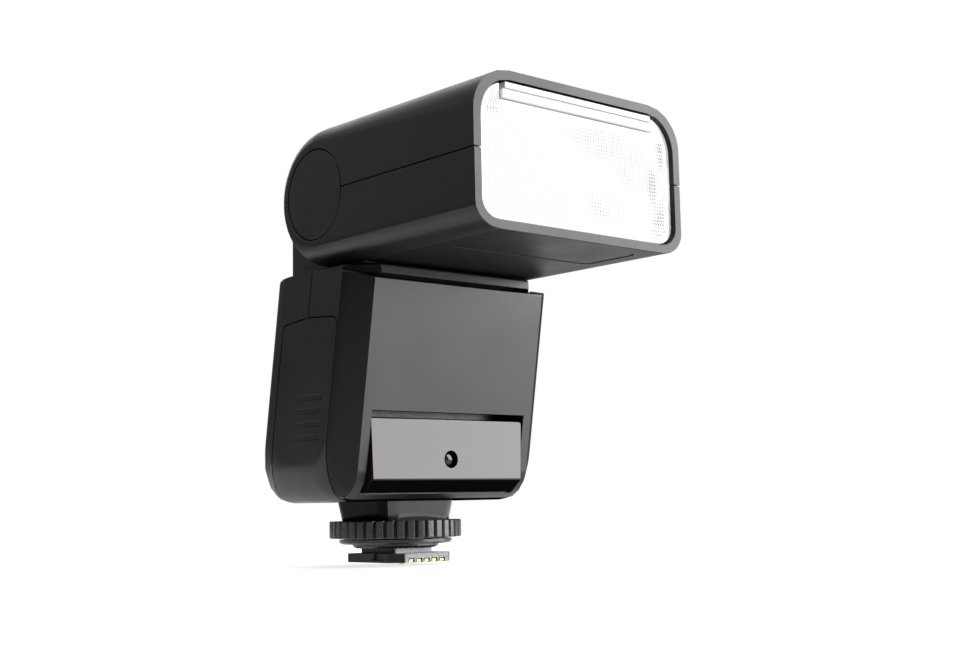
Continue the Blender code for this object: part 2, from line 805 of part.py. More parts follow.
def knuckle(finish):
    """Hollow tower that turns on the deck and carries the tilt axle."""
    axis = (HINGE_Y, HINGE_Z)
    front = math.degrees(math.acos((HINGE_Y - KNUCKLE_FRONT_Y) / KNUCKLE_DRUM))
    shoulder_y = KNUCKLE_REAR_Y - 0.175 * (KNUCKLE_SHOULDER - KNUCKLE_BOTTOM)
    outer = [Vector((KNUCKLE_FRONT_Y, KNUCKLE_BOTTOM))]
    outer += arc(axis, KNUCKLE_DRUM, 180 + front, DRUM_END, 28)
    outer += [Vector((shoulder_y, KNUCKLE_SHOULDER)), Vector((KNUCKLE_REAR_Y, KNUCKLE_BOTTOM))]
    solid = prism(outer, -KNUCKLE_HALF, KNUCKLE_HALF, "X")
    tower = place("swivel_knuckle", solid, finish, (0, SWIVEL_Y, KNUCKLE_BOTTOM))
    near = KNUCKLE_FRONT_Y - 5
    plan = [(-KNUCKLE_HALF, near, 0), (KNUCKLE_HALF, near, 0)]
    plan += [(KNUCKLE_HALF, KNUCKLE_REAR_Y, 3), (-KNUCKLE_HALF, KNUCKLE_REAR_Y, 3)]
    keep(tower, prism(fillet(plan), 60, 110))
    inside = KNUCKLE_HALF - KNUCKLE_WALL
    inner = [Vector((KNUCKLE_FRONT_Y + 2, KNUCKLE_BOTTOM + 2))]
    inner += arc(axis, KNUCKLE_DRUM - 2, 180 + front, 0, 20)
    inner.append(Vector((shoulder_y - 2.2, KNUCKLE_SHOULDER - 2)))
    inner.append(Vector((KNUCKLE_REAR_Y - 2.4, KNUCKLE_BOTTOM + 2)))
    cut(tower, prism(inner, -inside, inside, "X"))
    spindle = round_bar("Z", (0, SWIVEL_Y), SPINDLE_RADIUS, SPINDLE_BOTTOM, KNUCKLE_BOTTOM + 1, 32)
    join(tower, spindle)
    cut(tower, round_bar("Z", (0, SWIVEL_Y), SPINDLE_RADIUS - SPINDLE_WALL, 50, KNUCKLE_BOTTOM + 2.5, 24))
    cut(tower, round_bar("X", axis, AXLE_RADIUS + GAP, -40, 40))
    return tower


def swivel_retainer(finish):
    profile = ((SPINDLE_RADIUS - 1.4, 60.8), (SPINDLE_RADIUS - 1.4, 59.6), (10.4, 59.6), (10.4, 61.2))
    profile += ((SPINDLE_RADIUS + GAP, 61.2), (SPINDLE_RADIUS + GAP, 60.8))
    return place("swivel_retainer", collar("Z", (0, SWIVEL_Y), profile), finish, (0, SWIVEL_Y, 60))


# Head


def head_profile(low_draws, high_draws, inset, front):
    """Side outline of the head; each pair of draws lifts or lowers an edge in front and at the rear."""
    low_front, low_rear = (HEAD_BOTTOM + inset + draw for draw in low_draws)
    high_front, high_rear = (HEAD_TOP - inset - draw for draw in high_draws)
    outline = [Vector((front, low_front)), Vector((HEAD_FRONT_Y + 1.2, low_front))]
    outline += arc((HINGE_Y, (low_rear + high_rear) / 2), (high_rear - low_rear) / 2, -90, 90, 20)
    outline += [Vector((HEAD_FRONT_Y + 1.2, high_front)), Vector((front, high_front))]
    return outline


def head_solid(inset, front):
    """The head's outside, or its inside when drawn in: its long edges are rounder above and in front."""
    half = HEAD_HALF - inset
    starts = [half - edge[0] + inset for edge in (HEAD_LOW_EDGE, HEAD_HIGH_EDGE)]
    turns = [math.sin(math.radians(angle)) for angle in (0, 20, 38, 54, 68, 80, 90)]
    bends = {round(start + (half - start) * turn, 4) for start in starts for turn in turns}
    rings = []
    for x in sorted({0.0, *bends, *(-x for x in bends)}):
        draws = []
        for start, edge in zip(starts, (HEAD_LOW_EDGE, HEAD_HIGH_EDGE)):
            rounding = quarter(abs(x), start, half)
            draws.append([rounding * (depth - inset * 0.5) for depth in edge[1:]])
        rings.append([Vector((x, y, z)) for y, z in head_profile(*draws, inset, front)])
    skin = loft(rings)
    bmesh.ops.recalc_face_normals(skin, faces=skin.faces[:])
    bmesh.ops.triangulate(skin, faces=skin.faces[:])
    return skin


def cavity_tool(name, low, high):
    """Head interior limited to one block, as a hidden helper."""
    tool = place(name, head_solid(HEAD_WALL, HEAD_FRONT_Y - 3))
    tool.hide_render = True
    tool.display_type = "WIRE"
    keep(tool, block(low, high))
    return tool


def head_shell(name, upper, finish, cavities):
    shell = place(name, head_solid(0, HEAD_FRONT_Y), finish, (0, HINGE_Y, HINGE_Z))
    for tool in cavities:
        hollow = shell.modifiers.new("Hollow", "BOOLEAN")
        hollow.object = tool
    if upper:
        keep(shell, block((-50, -90, HINGE_Z + GAP / 2), (50, 40, 120)))
        cut(shell, block((-SLOT_HALF, HINGE_Y, 60), (SLOT_HALF, 40, 120)))
    else:
        keep(shell, block((-50, -90, 50), (50, 40, HINGE_Z - GAP / 2)))
        cut(shell, block((-SLOT_HALF, SLOT_FLOOR_Y, 50), (SLOT_HALF, 40, 120)))
        plate = rounded_box((-21.1, -62.6), (21.1, -46.6), 2.0)
        cut(shell, prism(plate, 60, HEAD_BOTTOM + 0.9))
    cut(shell, round_bar("X", (HINGE_Y, HINGE_Z), SLOT_RADIUS, -SLOT_HALF, SLOT_HALF, 48))
    cut(shell, round_bar("X", (HINGE_Y, HINGE_Z), AXLE_RADIUS + GAP, -28, 28))
    for side in (-1, 1):
        outside = sorted((side * 28.2, side * 36))
        cut(shell, round_bar("X", (HINGE_Y, HINGE_Z), CAP_RADIUS + GAP, *outside, 40))
    return shell


def head_cavities():
    rear = HINGE_Y - SLOT_RADIUS - 1.8
    cheek = SLOT_HALF + CHEEK_WALL
    return (
        cavity_tool("cavity_light_chamber", (-40, -80, 60), (40, rear, 110)),
        cavity_tool("cavity_cheek_right", (cheek, rear - 2, 60), (40, 20, 110)),
        cavity_tool("cavity_cheek_left", (-40, rear - 2, 60), (-cheek, 20, 110)),
    )


def fresnel_lens(finish):
    """Front lens: a pane that follows the head's inside, notched above for the two pull-out panels."""
    front = HEAD_FRONT_Y + LENS_RECESS
    lens = place("fresnel_lens", head_solid(HEAD_WALL + 0.4, HEAD_FRONT_Y), finish)
    keep(lens, block((-40, front, 50), (40, front + LENS_THICK, 120)))
    cut(lens, block((-NOTCH_HALF, front - 1, NOTCH_BOTTOM), (NOTCH_HALF, front + 4, 120)))
    return lens


def reflector(finish):
    """Folded mirror trough behind the tube, open to the front."""
    mouth = HEAD_FRONT_Y + 5.7
    centre = TUBE_AT[1]
    half_height = 9.6
    deep = 12.5
    steps = 10
    curve = []
    for step in range(steps + 1):
        share = -1 + 2 * step / steps
        curve.append((mouth + deep * (1 - share * share), centre + half_height * share))
    inner = [Vector(point) for point in curve]
    outer = [Vector((y + 0.6, centre + (z - centre) * 1.06)) for y, z in curve]
    end = REFLECTOR_HALF + 0.6
    bowl = place("reflector", prism(inner[:1] + outer + inner[-1:], -end, end, "X"), finish)
    opening = [Vector((mouth - 3, centre - half_height))] + inner
    opening.append(Vector((mouth - 3, centre + half_height)))
    cut(bowl, prism(opening, -REFLECTOR_HALF, REFLECTOR_HALF, "X"))
    cut(bowl, round_bar("X", TUBE_AT, 2.6, -30, 30, 16))
    return bowl


def flash_tube(finish):
    ends = 26.0
    sections = [(0.6, -ends), (0.6, -ends + 2), (2.0, -ends + 2.6)]
    sections += [(2.0, ends - 2.6), (0.6, ends - 2), (0.6, ends)]
    return place("flash_tube", stack("X", TUBE_AT, sections, 16), finish)


def zoom_carriage(finish):
    """Frame behind the reflector: back plate, two arms that hold the tube's ends, and a nut lug."""
    back = CARRIAGE_BACK
    rear = back + CARRIAGE_THICK
    plate = block((-CARRIAGE_HALF, back, 79.6), (CARRIAGE_HALF, rear, 91.0))
    carriage = place("zoom_carriage", plate, finish)
    for side in (-1, 1):
        inner, outer = sorted((side * (CARRIAGE_HALF - 2.6), side * CARRIAGE_HALF))
        join(carriage, block((inner, back - 9, 80.2), (outer, back + 1, 90.4)))
    join(carriage, block((NUT_X - 2.4, back, 70.9), (NUT_X + 2.4, rear, 80.2)))
    cut(carriage, round_bar("X", TUBE_AT, 2.4, -40, 40, 16))
    for x in (-ROD_X, ROD_X):
        cut(carriage, round_bar("Y", (x, ROD_Z), 1.2, -80, -20, 12))
    cut(carriage, round_bar("Y", (NUT_X, NUT_Z), 1.1, -80, -20, 12))
    return carriage


def zoom_parts(finishes):
    for name, x in (("zoom_rod_left", -ROD_X), ("zoom_rod_right", ROD_X)):
        place(name, round_bar("Y", (x, ROD_Z), 0.85, -61.2, -28.6, 12), finishes["steel"])
    place("zoom_screw", round_bar("Y", (NUT_X, NUT_Z), 0.75, -60.6, -34.2, 12), finishes["steel"],
          (NUT_X, -34.2, NUT_Z))
    place("zoom_motor", round_bar("Y", (NUT_X, NUT_Z), 2.7, -33.8, -28.4, 20), finishes["steel"])


def build():
    for obj in list(bpy.data.objects):
        bpy.data.objects.remove(obj, do_unlink=True)
    black = material("satin_black_plastic", (0.022, 0.022, 0.023), 0.45)
    finishes = {
        "shell": black,
        "key": material("soft_key_rubber", (0.03, 0.03, 0.032), 0.6),
        "foot": material("foot_plastic", (0.03, 0.03, 0.03), 0.5),
        "window": material("smoked_window", (0.012, 0.006, 0.007), 0.05),
        "screen": material("screen_pane", (0.02, 0.02, 0.022), 0.06),
        "display": material("display_module", (0.32, 0.38, 0.33), 0.4),
        "lens": material("clear_lens", (0.9, 0.92, 0.94), 0.15, 0.0, 0.35),
        "mirror": material("mirror_sheet", (0.86, 0.86, 0.87), 0.12, 1.0),
        "steel": material("steel", (0.55, 0.55, 0.57), 0.3, 1.0),
        "gold": material("gold_contact", (0.85, 0.62, 0.25), 0.25, 1.0),
        "board": material("circuit_board", (0.02, 0.12, 0.05), 0.5),
        "white": material("white_sheet", (0.85, 0.85, 0.83), 0.5),
        "cell": material("cell_jacket", (0.12, 0.13, 0.15), 0.35, 0.3),
        "sleeve": material("capacitor_sleeve", (0.03, 0.03, 0.05), 0.4),
        "bulb": material("quartz_glass", (0.8, 0.85, 0.9), 0.05, 0.0, 0.4),
    }
    shell_parts(finishes)
    head_parts(finishes)
    swivel_parts(finishes)
    rear_parts(finishes)
    inner_parts(finishes)
    foot_parts(finishes)


def shell_parts(finishes):
    front_housing(finishes["shell"])
    rear_cover(finishes["shell"])
    battery_door(finishes["shell"])
    window(finishes["window"])
    collar_radius = SENSOR_HOLE_RADIUS + 0.9
    sensor = [(collar_radius, -17.6), (collar_radius, -19.0), (1.6, -19.0), (1.6, -19.6)]
    sensor += [(1.2, -20.2), (0.4, -20.5)]
    place("sensor_bead", stack("Y", (SENSOR_X, SENSOR_Z), sensor, 20), finishes["window"])
    place("window_board", block((-20, -15.9, 18.4), (20, -14.9, 30.4)), finishes["board"])
    lamp = ((2.4, -16.2), (2.4, -17.6), (1.9, -18.2), (0.8, -18.7))
    place("assist_lamp", stack("Y", (12.0, 25.0), lamp, 16), finishes["lens"])


def head_parts(finishes):
    cavities = head_cavities()
    head_shell("head_upper_shell", True, finishes["shell"], cavities)
    head_shell("head_lower_shell", False, finishes["shell"], cavities)
    fresnel_lens(finishes["lens"])
    place("wide_panel", block((-22.6, PANEL_FRONT, 95.8), (22.6, PANEL_BACK, 97.4)), finishes["lens"])
    place("bounce_card", block((-22, PANEL_FRONT, 97.8), (22, PANEL_BACK, 99.1)), finishes["white"])
    place("panel_tray", block((-26, -62.6, 94.8), (26, -28.5, 95.4)), finishes["shell"])
    plate = rounded_box((-20.8, -62.3), (20.8, -46.9), 1.7)
    place("underside_plate", prism(plate, HEAD_BOTTOM + 0.15, HEAD_BOTTOM + 0.6), finishes["key"])
    for name, side in (("hinge_cap_left", -1), ("hinge_cap_right", 1)):
        low, high = sorted((side * 28.6, side * 33))
        disc = round_bar("X", (HINGE_Y, HINGE_Z), CAP_RADIUS, low, high, 40)
        cap = place(name, disc, finishes["shell"], (0, HINGE_Y, HINGE_Z))
        keep(cap, head_solid(0, HEAD_FRONT_Y))
    reflector(finishes["mirror"])
    flash_tube(finishes["bulb"])
    zoom_carriage(finishes["foot"])
    zoom_parts(finishes)
    place("trigger_coil", block((8, -34, 70.6), (18, -29, 76.2)), finishes["sleeve"])


def swivel_parts(finishes):
    swivel_deck(finishes["shell"])
    knuckle(finishes["shell"])
    swivel_retainer(finishes["foot"])
    place("tilt_axle", round_bar("X", (HINGE_Y, HINGE_Z), AXLE_RADIUS, -28.2, 28.2, 24), finishes["steel"],
          (0, HINGE_Y, HINGE_Z))


def rear_parts(finishes):
    pane = rounded_box((-SCREEN_HALF + GAP, SCREEN_LOW + GAP), (SCREEN_HALF - GAP, SCREEN_HIGH - GAP), 1.3)
    place("screen_pane", rear_prism(pane, -1.5, -0.1), finishes["screen"])
    module = rounded_box((-17.5, SCREEN_LOW + 1), (17.5, SCREEN_HIGH - 1), 0.4, 1)
    place("display_module", rear_prism(module, -5.2, -2.1), finishes["display"])
    for index, x in enumerate(key_centres()):
        rear_key(index, x, finishes["key"])
    control_dial(finishes["key"])
    button = ((SET_RADIUS, -2.6), (SET_RADIUS, 0.7), (SET_RADIUS - 0.5, 1.1))
    place("set_button", rear_stack(DIAL_X, DIAL_UP, button), finishes["key"], on_rear(DIAL_X, DIAL_UP, 0))
    button = ((TEST_RADIUS, -2.6), (TEST_RADIUS, 0.5), (TEST_RADIUS - 0.5, 0.9))
    place("test_button", rear_stack(TEST_X, TEST_UP, button), finishes["white"], on_rear(TEST_X, TEST_UP, 0))
    middle = SWITCH_X - SWITCH_TRAVEL / 2
    knob = rounded_box((middle - 2.6, SWITCH_UP - 1.2), (middle + 2.6, SWITCH_UP + 1.2), 0.8)
    place("power_switch", rear_prism(knob, -2.6, 0.8), finishes["key"], on_rear(middle, SWITCH_UP, 0))
    place("control_board", lean_block((-24, 28.4, 20), (24, 29.6, 60)), finishes["board"])


def inner_parts(finishes):
    battery_bay(finishes["foot"])
    cell("battery_cell_lower", CELL_LOW_Z, -1, finishes["cell"])
    cell("battery_cell_upper", CELL_HIGH_Z, 1, finishes["cell"])
    end = CELL_START_X + CELL_LENGTH
    for name, z in (("contact_spring_lower", CELL_LOW_Z), ("contact_spring_upper", CELL_HIGH_Z)):
        coil_spring(name, end + 0.7, BAY_HALF - HOLDER_WALL - 0.7, lean(0, CELL_DEPTH, z), finishes["steel"])
    low = (-28.35, CELL_DEPTH - 5, CELL_LOW_Z - 3.5)
    high = (-27.95, CELL_DEPTH + 5, CELL_HIGH_Z + 3.5)
    place("door_contact", lean_block(low, high), finishes["steel"])
    place("door_slide_strip", lean_block((-28.6, 25.2, 34), (-28.0, 27.7, 52)), finishes["steel"])
    place("main_capacitor", stack("X", (-16.9, 53.2), ((5.6, -23), (6.1, -22.4), (6.1, 22.4), (5.6, 23)), 24),
          finishes["sleeve"])
    place("boost_transformer", lean_block((-24, 20.6, 50.6), (-13, 28.0, 58.6)), finishes["sleeve"])
    cover = lean_prism(port_outline(0), BODY_HALF - 0.75, BODY_HALF + 0.25)
    place("port_cover", cover, finishes["key"])
    socket = lean_block((BODY_HALF - 7.3, 24.8, 24.6), (BODY_HALF - WALL - 0.8, 27.4, 31.4))
    place("port_socket", socket, finishes["steel"])


def foot_parts(finishes):
    foot(finishes["foot"])
    lock_ring(finishes["foot"])
    clamp_disc(finishes["foot"])
    pedestal(finishes["shell"])
    for index, (x, y) in enumerate(screw_places()):
        pedestal_screw(index, x, y, finishes["steel"])
    pin = ((0.85, -0.7), (0.85, 2.6), (1.55, 2.6), (1.55, 3.4))
    place("sync_pin", stack("Z", (0, FOOT_CENTRE_Y), pin, 12), finishes["gold"], (0, FOOT_CENTRE_Y, 0))
    place("lock_pin", stack("Z", LOCK_PIN_AT, ((0.4, 0.3), (0.6, 0.5), (0.6, 2.9)), 12), finishes["steel"])
    contact_comb(finishes["gold"])


build()
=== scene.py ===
"""Looks for the hot-shoe speedlight flash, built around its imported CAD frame."""

import json
import math

import bmesh
import bpy
from mathutils import Matrix, Vector


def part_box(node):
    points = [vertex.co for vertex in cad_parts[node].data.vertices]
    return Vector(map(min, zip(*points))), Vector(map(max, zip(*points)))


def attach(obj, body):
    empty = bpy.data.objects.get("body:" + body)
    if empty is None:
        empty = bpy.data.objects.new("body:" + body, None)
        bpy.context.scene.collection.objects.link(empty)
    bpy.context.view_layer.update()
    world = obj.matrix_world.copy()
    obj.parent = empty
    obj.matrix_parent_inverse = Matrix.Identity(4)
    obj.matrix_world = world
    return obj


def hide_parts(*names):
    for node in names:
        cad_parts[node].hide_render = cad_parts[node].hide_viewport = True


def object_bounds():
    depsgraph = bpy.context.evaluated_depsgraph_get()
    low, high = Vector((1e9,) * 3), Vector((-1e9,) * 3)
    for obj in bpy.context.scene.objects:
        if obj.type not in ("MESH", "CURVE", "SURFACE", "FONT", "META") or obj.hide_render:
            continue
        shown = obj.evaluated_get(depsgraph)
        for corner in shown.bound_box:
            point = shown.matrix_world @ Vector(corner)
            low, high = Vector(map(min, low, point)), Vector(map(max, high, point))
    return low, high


MM = 0.001
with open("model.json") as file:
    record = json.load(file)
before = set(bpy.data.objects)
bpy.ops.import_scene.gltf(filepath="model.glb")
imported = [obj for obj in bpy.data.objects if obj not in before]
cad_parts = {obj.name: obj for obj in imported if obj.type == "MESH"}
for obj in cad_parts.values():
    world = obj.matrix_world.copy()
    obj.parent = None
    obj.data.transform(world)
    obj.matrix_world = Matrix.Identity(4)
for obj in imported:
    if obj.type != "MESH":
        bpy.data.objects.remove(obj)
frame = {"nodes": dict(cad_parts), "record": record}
cad_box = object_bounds()
nodes = frame["nodes"]
body_of_node = {n: b for b, members in frame["record"]["behaviour"]["bodies"].items() for n in members}
slot_of_node = {row["node"]: row["material_slot"] for row in frame["record"]["subparts"]}

# The lower body leans forward: LEAN is the run per unit of height
LEAN = 0.1705
REAR_NORMAL = Vector((0, 1, LEAN)).normalized()
REAR_UP = Vector((0, -LEAN, 1)).normalized()


# ---------------------------------------------------------------- materials


class Shader:
    """A Principled material with short calls for the nodes that feed it."""

    # Places of a Mix node's two colour inputs and of its colour output
    MIX_COLORS = (6, 7)
    MIX_RESULT = 2

    def __init__(self, name, color, rough, metallic=0.0, **sockets):
        self.material = bpy.data.materials.new(name)
        self.material.use_nodes = True
        self.tree = self.material.node_tree
        self.shader = self.tree.nodes["Principled BSDF"]
        self.shader.inputs["Base Color"].default_value = (*color, 1)
        self.shader.inputs["Roughness"].default_value = rough
        self.shader.inputs["Metallic"].default_value = metallic
        for socket, value in sockets.items():
            self.shader.inputs[socket.replace("_", " ")].default_value = value
        self.place = self.tree.nodes.new("ShaderNodeTexCoord").outputs["Object"]

    def node(self, kind, inputs=(), **settings):
        made = self.tree.nodes.new("ShaderNode" + kind)
        for key, value in settings.items():
            setattr(made, key, value)
        for key, value in dict(inputs).items():
            if isinstance(value, bpy.types.NodeSocket):
                self.tree.links.new(value, made.inputs[key])
            else:
                made.inputs[key].default_value = value
        return made

    def noise(self, scale, detail=3.0, rough=0.5, vector=None):
        inputs = {"Vector": vector or self.place, "Scale": scale, "Detail": detail, "Roughness": rough}
        return self.node("TexNoise", inputs).outputs["Fac"]

    def voronoi(self, scale):
        return self.node("TexVoronoi", {"Vector": self.place, "Scale": scale}).outputs["Distance"]

    def math(self, operation, a, b=0.0, c=0.0):
        inputs = {0: a, 1: b, 2: c} if operation == "MULTIPLY_ADD" else {0: a, 1: b}
        return self.node("Math", inputs, operation=operation).outputs[0]

    def span(self, value, low, high, to_low, to_high, smooth=False):
        inputs = {"Value": value, "From Min": low, "From Max": high, "To Min": to_low, "To Max": to_high}
        kind = "SMOOTHSTEP" if smooth else "LINEAR"
        return self.node("MapRange", inputs, interpolation_type=kind).outputs["Result"]

    def axes(self, letters):
        """The object coordinates named by the letters, such as "XZ"."""
        parts = self.node("SeparateXYZ", {"Vector": self.place}).outputs
        return [parts[letter] for letter in letters]

    def blend(self, value, first, second):
        made = self.node("Mix", {"Factor": value}, data_type="RGBA")
        for socket, shade in zip(self.MIX_COLORS, (first, second)):
            if isinstance(shade, bpy.types.NodeSocket):
                self.tree.links.new(shade, made.inputs[socket])
            else:
                made.inputs[socket].default_value = (*shade, 1)
        return made.outputs[self.MIX_RESULT]

    def to(self, socket, value):
        self.tree.links.new(value, self.shader.inputs[socket])
        return self

    def bump(self, height, distance, strength=1.0, under=None):
        inputs = {"Height": height, "Distance": distance, "Strength": strength}
        if under:
            inputs["Normal"] = under
        return self.node("Bump", inputs).outputs["Normal"]


def scaled(color, factor):
    return [min(1, part * factor) for part in color]


def spark_plastic(name, color, rough, grain=2600, depth=0.00002, spread=0.05, specular=0.5):
    """Moulded plastic: fine spark-eroded grain, a little flow variation in gloss and tone."""
    s = Shader(name, color, rough, Specular_IOR_Level=specular)
    fine = s.noise(grain, 2.0, 0.6)
    cloud = s.noise(70, 3.0)
    s.to("Roughness", s.span(cloud, 0.3, 0.7, rough - spread, rough + spread))
    tone = s.math("MULTIPLY_ADD", fine, 0.5, s.math("MULTIPLY", cloud, 0.5))
    s.to("Base Color", s.blend(tone, scaled(color, 0.82), scaled(color, 1.2)))
    s.to("Normal", s.bump(fine, depth, 0.8, s.bump(s.noise(160, 1.0), 0.00002, 0.35)))
    return s.material


def rubber(name, color, rough):
    """Soft moulded rubber with a coarse, dull grain."""
    s = Shader(name, color, rough, Specular_IOR_Level=0.35)
    grain = s.noise(1900, 3.0, 0.7)
    s.to("Roughness", s.span(s.noise(240), 0.3, 0.7, rough - 0.08, rough + 0.08))
    s.to("Base Color", s.blend(grain, scaled(color, 0.7), scaled(color, 1.35)))
    s.to("Normal", s.bump(grain, 0.00004, 0.8))
    return s.material


def polished(name, color, rough, coat=0.6, **sockets):
    """Polished moulded window: near-flat, with faint moulding ripple and dust-fine gloss change."""
    s = Shader(name, color, rough, Coat_Weight=coat, Coat_Roughness=0.03, **sockets)
    s.to("Roughness", s.span(s.noise(320, 4.0), 0.3, 0.75, rough * 0.7, rough * 1.6))
    s.to("Base Color", s.blend(s.noise(45, 2.0), scaled(color, 0.85), scaled(color, 1.2)))
    s.to("Normal", s.bump(s.noise(38, 1.0), 0.00003, 0.15))
    return s.material


def metal(name, color, rough, axis=0):
    """Bright metal with fine drawing lines along one axis."""
    s = Shader(name, color, rough, 1.0)
    fine, long = 2400.0, 60.0
    stretch = [fine, fine, fine]
    stretch[axis] = long
    mapped = s.node("Mapping", {"Vector": s.place, "Scale": stretch}).outputs["Vector"]
    lines = s.noise(1.0, 3.0, 0.6, mapped)
    s.to("Roughness", s.span(lines, 0.3, 0.7, rough * 0.7, rough * 1.5))
    s.to("Base Color", s.blend(lines, scaled(color, 0.86), scaled(color, 1.08)))
    s.to("Normal", s.bump(lines, 0.000012, 0.6))
    return s.material


def board_material():
    """Green board with a grid of copper tracks under the resist and pale pads."""
    s = Shader("circuit_board", (0.01, 0.1, 0.045), 0.32)
    tracks = s.node("TexBrick", {"Vector": s.place, "Scale": 260.0, "Mortar Size": 0.03}).outputs["Fac"]
    pads = s.span(s.voronoi(420), 0.1, 0.16, 1.0, 0.0)
    green = s.blend(tracks, (0.008, 0.09, 0.04), (0.015, 0.16, 0.07))
    s.to("Base Color", s.blend(pads, green, (0.55, 0.45, 0.2)))
    s.to("Normal", s.bump(tracks, 0.00003, 0.6))
    return s.material


def lens_material():
    """Clear lens with a painted white glow from within, though it is no lamp, grey in places with painted
    shade for its prisms and for what lies behind.
    """
    clear, painted_shade_grey = (0.14, 0.14, 0.14), (0.05, 0.05, 0.05)
    painted_glow, painted_glow_shaded = (1.0, 1.0, 1.0), (0.2, 0.21, 0.21)
    prism_pitch, rib_pitch = 0.8, 0.75
    s = Shader("painted_glow_prism_lens", clear, 0.2, Coat_Weight=0.15, Coat_Roughness=0.1)
    x, z = s.axes("XZ")

    def around(centre_x, centre_z, half_x, half_z):
        """1 inside an oval patch of the lens, falling to 0 at its rim. Places and sizes are in mm."""
        across = s.math("DIVIDE", s.math("SUBTRACT", x, centre_x * MM), half_x * MM)
        up = s.math("DIVIDE", s.math("SUBTRACT", z, centre_z * MM), half_z * MM)
        squares = s.math("ADD", s.math("MULTIPLY", across, across), s.math("MULTIPLY", up, up))
        return s.span(squares, 1.0, 0.1, 0.0, 1.0, True)

    def waves(value, pitch, low, high):
        wave = s.math("SINE", s.math("MULTIPLY", value, 2 * math.pi / (pitch * MM)))
        return s.span(wave, low, high, 0.0, 1.0)

    # Painted shade: dotted fields of prisms near the middle
    dots = s.math("MULTIPLY", waves(x, prism_pitch, -0.2, 0.8), waves(z, prism_pitch, -0.2, 0.8))
    fields = s.math("MAXIMUM", around(4, 91.5, 12, 6), around(8, 77, 8, 4))
    patchy = s.span(s.noise(190, 2.0), 0.35, 0.6, 0.25, 1.0)
    shade = s.math("MULTIPLY", s.math("MULTIPLY", dots, fields), patchy)
    # Painted shade: slanting ribs in three of the corners
    slanted = s.math("MULTIPLY_ADD", z, 0.35, x)
    ribs = s.math("MULTIPLY_ADD", waves(slanted, rib_pitch, -0.6, 0.6), 0.6, 0.4)
    corners = s.math("MAXIMUM", around(26.5, 74.5, 6, 9), around(-25.5, 95.5, 5, 4))
    corners = s.math("MAXIMUM", corners, around(26.5, 92, 3, 6))
    broken = s.span(s.noise(260, 3.0), 0.3, 0.6, 0.35, 1.0)
    ribbed = s.math("MULTIPLY", s.math("MULTIPLY", corners, ribs), broken)
    # Painted shade: a grey band near the right side, with fainter painted shade beside it
    painted_streak_shade = s.math("MULTIPLY", around(22.6, 83.5, 2.2, 5.5), 0.75)
    painted_haze_shade = s.math("MULTIPLY", around(18, 88, 12, 9), s.span(s.noise(130, 2.0), 0.35, 0.65, 0.04, 0.4))
    shade = s.math("MAXIMUM", s.math("MULTIPLY", shade, 0.95), s.math("MULTIPLY", ribbed, 0.95))
    shade = s.math("ADD", shade, s.math("MAXIMUM", painted_streak_shade, painted_haze_shade))
    # Painted shade darkens the base colour and dims the painted glow
    s.to("Base Color", s.blend(shade, clear, painted_shade_grey))
    s.to("Emission Color", s.blend(shade, painted_glow, painted_glow_shaded))
    # Strength of the painted glow
    s.shader.inputs["Emission Strength"].default_value = 0.66
    s.to("Normal", s.bump(s.noise(900, 2.0), 0.00002, 0.4))
    return s.material


def clear_material(name, color, alpha):
    """Clear plastic or glass with a faint ripple."""
    s = Shader(name, color, 0.08, Alpha=alpha, Coat_Weight=0.6, Coat_Roughness=0.05)
    s.to("Base Color", s.blend(s.noise(120), scaled(color, 0.9), color))
    s.to("Normal", s.bump(s.noise(240, 2.0), 0.00002, 0.5))
    return s.material


def panel_material():
    """Clear ribbed panel with a painted glow along its front edge, for light from the lens."""
    rib_pitch = 1.1 * MM
    edge_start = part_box("wide_panel")[0].y + 0.5 * MM
    edge_end = edge_start + 0.6 * MM
    s = Shader("pull_out_panel_painted_glow", (0.6, 0.61, 0.62), 0.2, Coat_Weight=0.3)
    x, y = s.axes("XY")
    ribs = s.math("SINE", s.math("MULTIPLY", x, 2 * math.pi / rib_pitch))
    faint = s.math("MULTIPLY", s.span(ribs, 0.2, 1.0, 0.0, 1.0), s.span(s.noise(160), 0.35, 0.65, 0.1, 0.7))
    edge = s.span(y, edge_start, edge_end, 1.0, 0.0)
    s.to("Base Color", s.blend(faint, (0.4, 0.41, 0.42), (0.27, 0.28, 0.29)))
    s.to("Emission Color", s.blend(edge, (0, 0, 0), (1, 1, 1)))
    # Strength of the painted edge glow
    s.shader.inputs["Emission Strength"].default_value = 0.4
    s.to("Normal", s.bump(ribs, 0.00004, 0.4))
    return s.material


def screen_material():
    """Smoked pane over a switched-off display: black border, dark grey-green field with faint cells."""
    half_x, half_z, middle_z = 16.4 * MM, 6.6 * MM, 52.4 * MM
    fade = 0.2 * MM
    cell = 0.5 * MM
    s = Shader("screen_pane", (0.01, 0.01, 0.011), 0.05, Coat_Weight=0.7, Coat_Roughness=0.03)
    x, z = s.axes("XZ")
    inside_x = s.span(s.math("ABSOLUTE", x), half_x, half_x + fade, 1.0, 0.0)
    off_middle = s.math("ABSOLUTE", s.math("SUBTRACT", z, middle_z))
    inside = s.math("MULTIPLY", inside_x, s.span(off_middle, half_z, half_z + fade, 1.0, 0.0))
    cells_x = s.math("SINE", s.math("MULTIPLY", x, 2 * math.pi / cell))
    cells_z = s.math("SINE", s.math("MULTIPLY", z, 2 * math.pi / cell))
    cells = s.span(s.math("MAXIMUM", cells_x, cells_z), 0.8, 1.0, 0.0, 1.0)
    field = s.blend(cells, (0.085, 0.1, 0.09), (0.05, 0.06, 0.055))
    s.to("Base Color", s.blend(inside, (0.008, 0.008, 0.009), field))
    s.to("Roughness", s.span(s.noise(300, 3.0), 0.3, 0.7, 0.03, 0.09))
    return s.material


